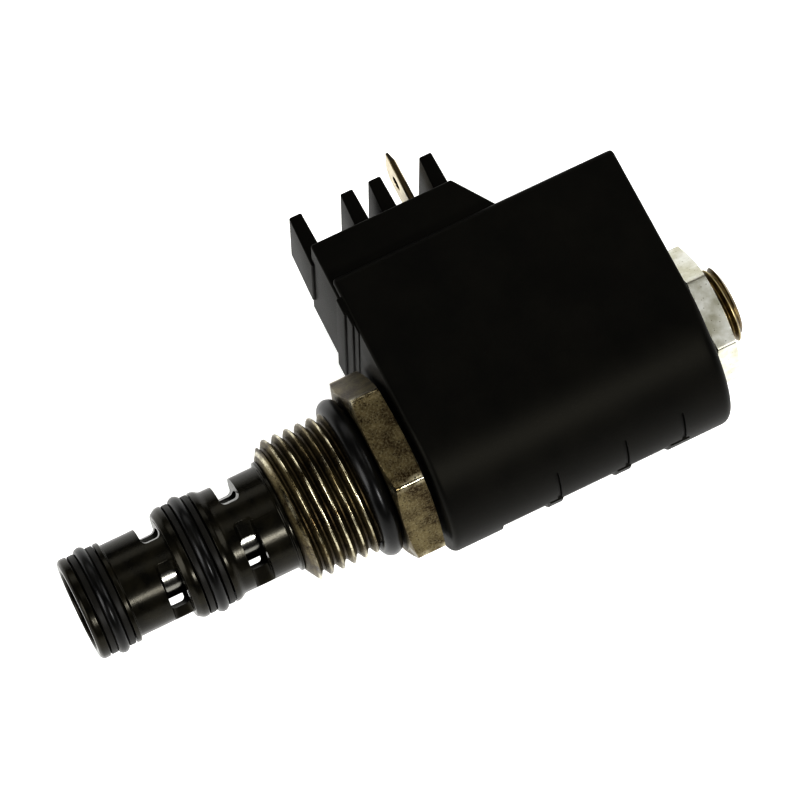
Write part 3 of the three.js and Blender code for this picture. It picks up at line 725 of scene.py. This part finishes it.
# ---- Winding and leads --------------------------------
# Enamelled copper wire wound in even layers on the bobbin, with its two ends led out through the
# yoke's seam to the roots of the terminals. The outer layer's turns show as fine ridges.

enamelled_copper = machined("enamelled_copper", (0.40, 0.12, 0.045), (0.58, 0.21, 0.09), 0.22)
winding_low, winding_high = node_box("winding")


def winding():
    """A sleeve whose outer radius rises and falls as half circles, one for each turn of wire."""
    left, right, outer_r, inner_r = winding_low[0], winding_high[0], winding_high[1], 7.65
    turns, per_turn, ridge = 52, 8, 0.25
    x = np.linspace(left, right, turns * per_turn + 1)
    phase = np.linspace(0, turns, turns * per_turn + 1) % 1.0
    r = outer_r - ridge + ridge * np.sqrt(np.clip(1 - (2 * phase - 1) ** 2, 0, 1))
    x = np.concatenate([[left], x, [right]])
    r = np.concatenate([[inner_r], r, [inner_r]])
    return carried_round(np.stack([x, r], -1), 96)


add_piece("wire_winding", *winding(), "coil", "copper_wire", enamelled_copper, ["winding"], sharp_deg=60)
coat("lead_wire_blade", enamelled_copper)
coat("lead_wire_stub", enamelled_copper)


# ---- Pole piece and stud ------------------------------
# The fixed pole of the magnet, with the stud that the coil nut screws on turned on its end. The
# stud's rolled M10 fine thread has lost its plating to an oily brown-gold.

def stud_look(place):
    stain = place.noise(600, 4)
    fine = place.noise(5200, 2)
    wear_and_shade = place.wear_and_shade_value()
    brown = stain.between(0.35, 0.65).mix((0.05, 0.032, 0.014), (0.22, 0.165, 0.075))
    return {
        "Base Color": (wear_and_shade.between(0.8, 1.0) * 0.7).mix(brown, (0.5, 0.43, 0.26)),
        "Roughness": 0.28 + 0.2 * stain,
        "Bump": (fine, 0.2, 0.00002),
    }


rolled_stud = finish("oily_rolled_steel", {"Metallic": 1.0}, stud_look)
pole_low, pole_high = node_box("pole_piece")
stud_r = 5.0


def pole_and_stud():
    """Turned rows for the pole, then a helical thread whose ends fade into cones."""
    around, pitch, thread_depth, end_cone = 181, 1.0, 0.58, 1.1
    angle = np.linspace(0, 2 * np.pi, around)
    plain = np.ones_like(angle)[None, :]
    end_x, shoulder_x, first_thread_x, pole_x = pole_high[0], 44.3, 45.2, pole_low[0]
    core_r, base_r, chamfer = 5.35, 6.35, 0.15
    base_x = node_box("guide_tube")[1][0] + 0.05
    thread_x, thread_r, height = thread_rows(
        first_thread_x, end_x - 0.35, pitch, 0.3, stud_r - thread_depth, stud_r + 0.05, angle, 14,
    )
    thread_r = np.minimum(thread_r, stud_r - 0.35 + end_cone * (end_x - thread_x))
    pole = np.array([
        [pole_x, 0],
        [pole_x, core_r - chamfer],
        [pole_x + chamfer, core_r],
        [base_x, core_r],
        [base_x, base_r - chamfer],
        [base_x + chamfer, base_r],
        [shoulder_x - chamfer, base_r],
        [shoulder_x, base_r - chamfer],
        [shoulder_x, stud_r - 0.1],
        [first_thread_x, stud_r - 0.1],
    ])
    end = np.array([[end_x, stud_r - 0.95], [end_x, 1.1], [end_x - 0.9, 0.0]])
    x = np.concatenate([pole[:, 0:1] * plain, thread_x, end[:, 0:1] * plain])
    r = np.concatenate([pole[:, 1:2] * plain, thread_r, end[:, 1:2] * plain])
    pole_wear, end_wear = np.zeros((len(pole), around)), np.full((len(end), around), 0.85)
    wear_and_shade = np.concatenate([pole_wear, height, end_wear])
    return about_axis(x, r, angle), grid_quads(len(x), around), wear_and_shade


pole_points, pole_quads, pole_worn = pole_and_stud()
add_piece("pole_with_stud", pole_points, pole_quads, "cartridge", "stud_steel", rolled_stud,
          ["pole_piece"], wear_and_shade=pole_worn, sharp_deg=32)


# ---- Coil moulding ------------------------------------
# The coil's glass-filled nylon case, moulded in one shot over the winding and yoke: a barrel with
# a square top, a terminal block with four fins and a stepped foot. The underside has shallow
# panels between ribs, with a parting line, and three witness grooves that run up the near side.

def nylon_look(place):
    grain = place.noise(5200, 3, 0.7)
    flow = place.noise(160, 4)
    dust = place.spots(2600, 0.05, 0.16)
    paler = flow.between(0.35, 0.7) * 0.5 + 0.5 * dust
    return {
        "Base Color": paler.mix((0.0022, 0.0022, 0.0021), (0.0065, 0.006, 0.0048)),
        "Roughness": (0.46 + 0.05 * flow - 0.12 * dust).held(),
        "Bump": (grain, 0.3, 0.00004),
    }


black_nylon = finish("glass_filled_nylon", {
    "Specular IOR Level": 0.09, "Specular Tint": (1.0, 0.95, 0.78, 1),
}, nylon_look)
coil_high = node_box("coil_housing")[1]
barrel_r = coil_high[2]
barrel_left_x, barrel_right_x = 5.1, coil_high[0]
barrel_top_y = 21.05
block_left_x, block_right_x, slope_x = 4.8, 24.4, 28.2
block_top_y, block_foot_y, block_half_z = 26.6, 20.2, 12.2
fin_tip_y, fin_half_z = coil_high[1], 7.1
coil_bore_r, cavity_r, wall = 6.65, 12.4, 1.6
panel_left_x, panel_right_x = 12.0, 38.0
rib_spans = [(18.5, 20.4), (28.0, 30.0), (35.5, 38.0)]
witness_places = [19.8, 29.3, 37.3]


def barrel_outline():
    """Centres, radii and outward directions round the barrel's section: a half circle below, flat
    sides and two small corners above. A point is centre + (radius - inset) * direction."""
    corner = 0.9
    corner_y, corner_z = barrel_top_y - corner, barrel_r - corner
    side = np.linspace(0, 1, 12)[1:-1]
    top = np.linspace(-1, 1, 12)[1:-1]
    turn = np.linspace(0, np.pi / 2, 9)
    stretches = [  # centre y, centre z, radius, direction
        (0, 0, barrel_r, np.linspace(np.pi / 2, 3 * np.pi / 2, 181)),
        (side * corner_y, -corner_z, corner, -np.pi / 2),
        (corner_y, -corner_z, corner, turn - np.pi / 2),
        (corner_y, top * corner_z, corner, 0),
        (corner_y, corner_z, corner, turn),
        ((1 - side) * corner_y, corner_z, corner, np.pi / 2),
    ]
    return np.concatenate([np.broadcast_arrays(*stretch) for stretch in stretches], 1)


def underside(x, angle):
    """Depth below the full barrel: panels on the far side of the belly except at the ribs, a
    parting groove along the bottom, and narrow grooves up the near side at each rib."""
    panel_depth, parting_depth, witness_depth, witness_half = 0.35, 0.3, 0.35, 0.27
    panel_degrees, parting_degrees, witness_degrees = (180.5, 224), (178.4, 181.6), (152, 181)

    def over(span):
        return (np.degrees(angle) > span[0]) & (np.degrees(angle) < span[1])

    on_rib = np.any([(x > left) & (x < right) for left, right in rib_spans], 0)
    on_witness = np.any([np.abs(x - place) < witness_half for place in witness_places], 0)
    along = (x > panel_left_x) & (x < panel_right_x)
    panel = panel_depth * (along & ~on_rib & over(panel_degrees))
    parting = parting_depth * (along & over(parting_degrees))
    witness = witness_depth * (on_witness & over(witness_degrees))
    return np.maximum.reduce([panel, parting, witness])


def right_lean(y):
    """How far the right face stands back at that height: nothing at the bottom, most at the top."""
    return 0.3 * (y + barrel_r) / (barrel_top_y + barrel_r)


def barrel():
    """Rows along X of the section, inset at both ends by a quarter circle, with the right face
    leaning back towards the top, then the bore and the room for the winding. Close pairs of rows
    stand at every step of the underside."""
    centre_y, centre_z, radius, direction = barrel_outline()
    facing_y, facing_z = np.cos(direction), np.sin(direction)
    belly = np.clip(-facing_y / 0.5, 0, 1)
    belly = (belly * belly * (3 - 2 * belly))[None, :]
    quarter = np.linspace(0, np.pi / 2, 7)[:, None]
    left_edge, right_edge = 0.5 + 0.3 * belly, 0.45 + 0.85 * belly
    beside_step, beside_groove = [-0.1, 0.1], [-0.3, -0.24, 0.24, 0.3]
    steps = np.array([panel_left_x, *np.ravel(rib_spans)])[:, None] + beside_step
    grooves = np.array(witness_places)[:, None] + beside_groove
    spread = np.linspace(6.4, 42.5, 30)
    middle = np.sort(np.concatenate([spread, steps.ravel(), grooves.ravel()]))
    middle = middle[:, None] * np.ones_like(belly)
    x = np.concatenate([
        barrel_left_x + left_edge * (1 - np.sin(quarter[::-1])),
        middle,
        barrel_right_x - right_edge * (1 - np.sin(quarter)),
    ])
    inset = np.concatenate([
        left_edge * (1 - np.cos(quarter[::-1])),
        underside(middle, direction[None, :]),
        right_edge * (1 - np.cos(quarter)),
    ])
    y = centre_y + (radius - inset) * facing_y
    z = centre_z + (radius - inset) * facing_z
    x = np.where(x > panel_right_x + 2, x - right_lean(y), x)
    around = np.arctan2(z[0], y[0])
    inner = np.array([
        [barrel_right_x, coil_bore_r], [barrel_right_x - wall, coil_bore_r],
        [barrel_right_x - wall, cavity_r], [barrel_left_x + wall, cavity_r],
        [barrel_left_x + wall, coil_bore_r], [barrel_left_x, coil_bore_r],
    ])
    inner_x = inner[:, 0:1] * np.ones_like(around)
    inner_y, inner_z = inner[:, 1:2] * np.cos(around), inner[:, 1:2] * np.sin(around)
    inner_x[0] -= right_lean(inner_y[0])
    points = np.stack([
        np.concatenate([x, inner_x]), np.concatenate([y, inner_y]), np.concatenate([z, inner_z]),
    ], -1)
    return points.reshape(-1, 3), [grid_quads(len(x) + len(inner_x), len(around), True, True)]


def pillow(corners, half_z, edge):
    """A convex prism along Z with every edge rounded. The outline is the corners, anticlockwise,
    moved in by the edge radius and swept by a circle that shrinks by a quarter turn to both ends."""
    arc_points = 5
    corners = np.array(corners, float)
    ahead = np.roll(corners, -1, 0) - corners
    ahead /= np.linalg.norm(ahead, axis=1, keepdims=True)
    normal = np.stack([ahead[:, 1], -ahead[:, 0]], -1)
    before = np.roll(normal, 1, 0)
    inner = corners - edge * (normal + before) / (1 + (normal * before).sum(1, keepdims=True))
    start = np.arctan2(before[:, 1], before[:, 0])
    sweep = (np.arctan2(normal[:, 1], normal[:, 0]) - start) % (2 * np.pi)
    arc = start[:, None] + sweep[:, None] * np.linspace(0, 1, arc_points)[None, :]
    spoke = np.stack([np.cos(arc), np.sin(arc)], -1).reshape(-1, 2)
    hub = np.repeat(inner, arc_points, 0)
    quarter = np.linspace(0, np.pi / 2, arc_points)
    size = np.concatenate([np.sin(quarter), np.sin(quarter[::-1])]) * edge
    inward = edge * (1 - np.cos(quarter))
    place = np.concatenate([inward - half_z, half_z - inward[::-1]])
    flat = hub[None] + size[:, None, None] * spoke[None]
    depth = np.broadcast_to(place[:, None, None], (*flat.shape[:2], 1))
    points = np.concatenate([flat, depth], 2).reshape(-1, 3)
    count = len(hub)
    caps = np.array([np.arange(count), np.arange(len(points) - count, len(points))])
    return points, [grid_quads(len(size), count, False, True), caps]


def join_shells(shells):
    """Puts several closed shells into one list of points and one of face arrays."""
    points, faces, base = [], [], 0
    for shell_points, shell_faces in shells:
        points.append(shell_points)
        faces += [block + base for block in shell_faces]
        base += len(shell_points)
    return np.concatenate(points), faces


def fin(centre_x):
    """A fin that stands on the block and is a little thinner at its tip."""
    tip, root, foot_y = 0.85, 1.08, block_top_y - 1
    outline = [[centre_x - root, foot_y], [centre_x + root, foot_y],
               [centre_x + tip, fin_tip_y], [centre_x - tip, fin_tip_y]]
    return pillow(outline, fin_half_z, 0.22)


def foot_step(left_x, low_y, high_y, edge):
    """One step of the foot: a box from its left face to inside the barrel, across its width."""
    right_x, half_z = 7.1, barrel_r - 0.3
    outline = [[left_x, low_y], [right_x, low_y], [right_x, high_y], [left_x, high_y]]
    return pillow(outline, half_z, edge)


block_outline = [
    [block_left_x, block_foot_y - 3], [slope_x, block_foot_y], [slope_x, barrel_top_y],
    [block_right_x, block_top_y], [block_left_x, block_top_y],
]
coil_shells = [
    barrel(),
    pillow(block_outline, block_half_z, 0.35),
    *[fin(centre_x) for centre_x in (5.5, 12.7, 16.6, 23.8)],
    foot_step(4.4, 16.1, 18.5, 0.25),
    foot_step(4.7, 14.4, 16.6, 0.2),
    foot_step(4.95, 13.2, 14.9, 0.12),
]
add_piece("moulded_coil_case", *join_shells(coil_shells), "coil", "moulded_plastic", black_nylon,
          ["coil_housing"], sharp_deg=30)


# ---- Terminals ----------------------------------------
# A 6.3 mm spade terminal stamped from brass strip, tinned, with bevelled edges, a detent hole and
# a thinned tip. The second terminal stops flush in its bay.

def tinned_look(place):
    stain = place.noise(700, 4)
    drag = place.noise(1500, 3, stretch=(1, 0.25, 2))
    color = stain.between(0.3, 0.7).mix((0.24, 0.17, 0.07), (0.62, 0.53, 0.33))
    wear_and_shade = place.wear_and_shade_value()
    # Painted shade: the colour goes nearly black where the mesh's number is 1, on the hole's wall and
    # round the blade's edge.
    color_with_edge_shade = wear_and_shade.mix(color, (0.035, 0.026, 0.014))
    return {
        "Base Color": (drag.between(0.35, 0.9) * (1 - wear_and_shade)).mix(color_with_edge_shade, (0.72, 0.66, 0.48)),
        "Roughness": 0.2 + 0.2 * drag,
        "Bump": (drag, 0.2, 0.00002),
    }


tinned_brass = finish("tinned_brass", {"Metallic": 1.0}, tinned_look)
blade_low, blade_high = node_box("terminal_blade")


def blade():
    """Rings of points round the detent hole that grow from the hole to the blade's outline: each
    lies on the ray at its angle, at hole radius + share * (distance to the outline - radius).
    That distance is the least, over the outline's sides, of side distance / cos(angle to side)."""
    hole_y, hole_r, root_y = 33.0, 0.9, 25.0
    middle_x, half_x = (blade_low[0] + blade_high[0]) / 2, (blade_high[0] - blade_low[0]) / 2
    half_z, tip_y, tip_half_z, shoulder = blade_high[2], blade_high[1], 2.0, 1.6
    slant = math.atan2(shoulder, half_z - tip_half_z)
    slant_distance = (tip_y - hole_y) * math.cos(slant) + tip_half_z * math.sin(slant)
    facing = np.array([0.0, np.pi / 2, -np.pi / 2, np.pi, slant, -slant])
    distance = np.array([tip_y - hole_y, half_z, half_z, hole_y - root_y, slant_distance, slant_distance])
    corners = np.arctan2(
        [tip_half_z, half_z, half_z],
        [tip_y - hole_y, tip_y - shoulder - hole_y, root_y - hole_y],
    )
    even = np.linspace(-np.pi, np.pi, 120, endpoint=False)
    angle = np.sort(np.concatenate([even, corners, -corners]))
    toward = np.cos(angle[:, None] - facing[None, :])
    outline = np.where(toward > 0.01, distance / np.maximum(toward, 0.01), np.inf).min(1)
    share = np.array([0.0, 0.03, 0.3, 0.7, 0.93, 1.0])
    depth = np.array([0.75, 1.0, 1.0, 1.0, 1.0, 0.62])
    share = np.concatenate([share, share[::-1]])[:, None]
    depth = np.concatenate([depth, -depth[::-1]])[:, None]
    ring = hole_r + share * (outline[None, :] - hole_r)
    y = hole_y + ring * np.cos(angle)
    z = ring * np.sin(angle)
    thinned_length, thinned_share = 1.5, 0.45
    thin = 1 - thinned_share * np.clip((y - (tip_y - thinned_length)) / thinned_length, 0, 1)
    x = middle_x + half_x * depth * thin
    points = np.stack([x, y, z], -1).reshape(-1, 3)
    # Painted shade: 1 on the detent hole's wall and round the blade's edge, 0 on its faces.
    painted_edge_shade = ((share == 0) | (share == 1)) * np.ones_like(x)
    return points, grid_quads(len(share), len(angle), True, True), painted_edge_shade


blade_points, blade_quads, blade_edge_shade = blade()
add_piece("spade_terminal", blade_points, blade_quads, "coil", "terminal_brass", tinned_brass,
          ["terminal_blade"], wear_and_shade=blade_edge_shade, sharp_deg=20)
coat("terminal_stub", tinned_brass)


# ---- Nut and washer -----------------------------------
# A thin hexagon nut in bright zinc that clamps the coil, over a flat washer. The nut is cold
# formed and tapped; both faces are chamfered.

def zinc_look(place):
    cloud = place.noise(500, 4)
    speck = place.spots(1700, 0.06, 0.17)
    fine = place.noise(4600, 2)
    wear_and_shade = place.wear_and_shade_value()
    color = cloud.between(0.35, 0.65).mix((0.47, 0.46, 0.37), (0.66, 0.66, 0.61))
    dirty = (speck * 0.75).mix(color, (0.16, 0.14, 0.09))
    return {
        # Painted shade: the colour goes dark where the mesh's number is high, in a thin line along each
        # of the nut's corners.
        "Base Color": wear_and_shade.mix(dirty, (0.05, 0.043, 0.03)),
        "Roughness": 0.3 + 0.16 * cloud,
        "Bump": (fine + 0.5 * (1 - speck), 0.25, 0.00003),
    }


bright_zinc = finish("bright_zinc_plate", {"Metallic": 1.0}, zinc_look)
nut_low, nut_high = node_box("coil_nut")
washer_low, washer_high = node_box("nut_washer")
nut_flat_r = 8.0
nut_turn = math.radians(16.9)


def nut():
    """A chamfered hexagon closed through a tapped bore, with a thin line of painted shade along each
    corner.
    """
    bore_r, bore_chamfer, chamfer, ring_r = stud_r + 0.1, 0.5, 0.3, 0.97 * nut_flat_r
    corner_shade_from, corner_shade_span = 1.138, 0.01
    left, right = nut_low[0], nut_high[0]
    angle = hexagon_columns(40, nut_turn)
    hexagon = hexagon_r(nut_flat_r, angle, nut_turn)[None, :]
    flats_x, flats_r = chamfered(hexagon, ring_r, left, right, chamfer, chamfer)
    bore = np.array([
        [right, bore_r + bore_chamfer], [right - bore_chamfer, bore_r],
        [left + bore_chamfer, bore_r], [left, bore_r + bore_chamfer],
    ])
    x = np.concatenate([flats_x, bore[:, 0:1] * np.ones_like(hexagon)])
    r = np.concatenate([flats_r, bore[:, 1:2] * np.ones_like(hexagon)])
    # Painted shade: 1 in a thin band along each corner of the flats, 0 elsewhere.
    painted_corner_shade = np.clip((hexagon / nut_flat_r - corner_shade_from) / corner_shade_span, 0, 1) * (r > hexagon - 0.02)
    return about_axis(x, r, angle), grid_quads(len(x), len(angle), True, False), painted_corner_shade


def flat_washer():
    """A flat ring with its outer edges rounded, carried round the axis."""
    hole_r, hole_corner, outer_r, outer_corner = 5.3, 0.05, washer_high[1], 0.15
    rows = round_corners(np.array([
        [washer_low[0], hole_r, hole_corner], [washer_high[0], hole_r, hole_corner],
        [washer_high[0], outer_r, outer_corner], [washer_low[0], outer_r, outer_corner],
    ]))
    return carried_round(rows, 120)


nut_points, nut_quads, nut_corner_shade = nut()
add_piece("hexagon_coil_nut", nut_points, nut_quads, "coil_nut", "bright_zinc", bright_zinc, ["coil_nut"],
          wear_and_shade=nut_corner_shade, sharp_deg=25)
add_piece("flat_nut_washer", *flat_washer(), "nut_washer", "bright_zinc", bright_zinc, ["nut_washer"])


# ---- Stage --------------------------------------------
# A pale floor that glows a little, under the coil's flat side. Softboxes stand on the left, on the
# right, behind and overhead, and a small lamp in front draws the glint along the barrel. The
# camera looks down steeply, along a line a little left of the valve's middle.

reach = 6.0
corner_signs = [(-1, -1), (1, -1), (1, 1), (-1, 1)]
floor_corners = [(reach * x, reach * y, cad_box[0][2]) for x, y in corner_signs]
floor_mesh = bpy.data.meshes.new("floor")
floor_mesh.from_pydata(floor_corners, [], [(0, 1, 2, 3)])
floor = add_object("floor", floor_mesh)
paper = bpy.data.materials.new("white_paper")
paper.use_nodes = True
paper_shader = paper.node_tree.nodes["Principled BSDF"]
paper_shader.inputs["Base Color"].default_value = (0.93, 0.93, 0.92, 1)
paper_shader.inputs["Roughness"].default_value = 0.9
paper_shader.inputs["Emission Color"].default_value = (1.0, 1.0, 0.98, 1)
paper_shader.inputs["Emission Strength"].default_value = 0.42
floor_mesh.materials.append(paper)

world = bpy.data.worlds.new("studio")
bpy.context.scene.world = world
world.use_nodes = True
background = world.node_tree.nodes["Background"]
background.inputs["Color"].default_value = (1.0, 0.99, 0.97, 1)
background.inputs["Strength"].default_value = 0.06


middle_of_valve = Vector((0.005, 0.007, 0.0))


def softbox(name, place, size, power):
    """A rectangular area light of that size in metres, turned to face the valve."""
    lamp = bpy.data.lights.new(name, "AREA")
    lamp.shape = "RECTANGLE"
    lamp.size, lamp.size_y = size
    lamp.energy = power
    light = add_object(name, lamp)
    light.location = place
    light.rotation_euler = (middle_of_valve - Vector(place)).to_track_quat("-Z", "Y").to_euler()


softbox("left_window", (-0.6, -0.1, 0.3), (0.3, 0.5), 3.2)
softbox("back_strip", (0.05, 0.6, 0.4), (0.8, 0.25), 1.3)
softbox("right_window", (0.6, 0.0, 0.3), (0.3, 0.5), 1.8)
softbox("front_lamp", (0.08, -0.5, 0.44), (0.11, 0.08), 2.6)
softbox("ceiling", (0.2, 0.2, 0.9), (0.4, 0.4), 0.9)

bpy.context.scene.view_settings.view_transform = "Standard"
bpy.context.scene.view_settings.look = "High Contrast"

azimuth, elevation, roll = math.radians(-26.6), math.radians(73.17), math.radians(0.264)
aim = Vector((0.007552, 0.006832, 0.0))
distance = 0.60836
back = Vector((
    math.sin(azimuth) * math.cos(elevation),
    -math.cos(azimuth) * math.cos(elevation),
    math.sin(elevation),
))
level = Vector((math.cos(azimuth), math.sin(azimuth), 0))
upward = back.cross(level)
right = math.cos(roll) * level + math.sin(roll) * upward
top = math.cos(roll) * upward - math.sin(roll) * level
camera_data = bpy.data.cameras.new("camera")
camera_data.sensor_width = 36
camera_data.lens = 217.0
camera_data.clip_end = 50
camera = add_object("camera", camera_data)
facing = Matrix((right, top, back)).transposed().to_4x4()
camera.matrix_world = Matrix.Translation(aim + distance * back) @ facing
bpy.context.scene.camera = camera
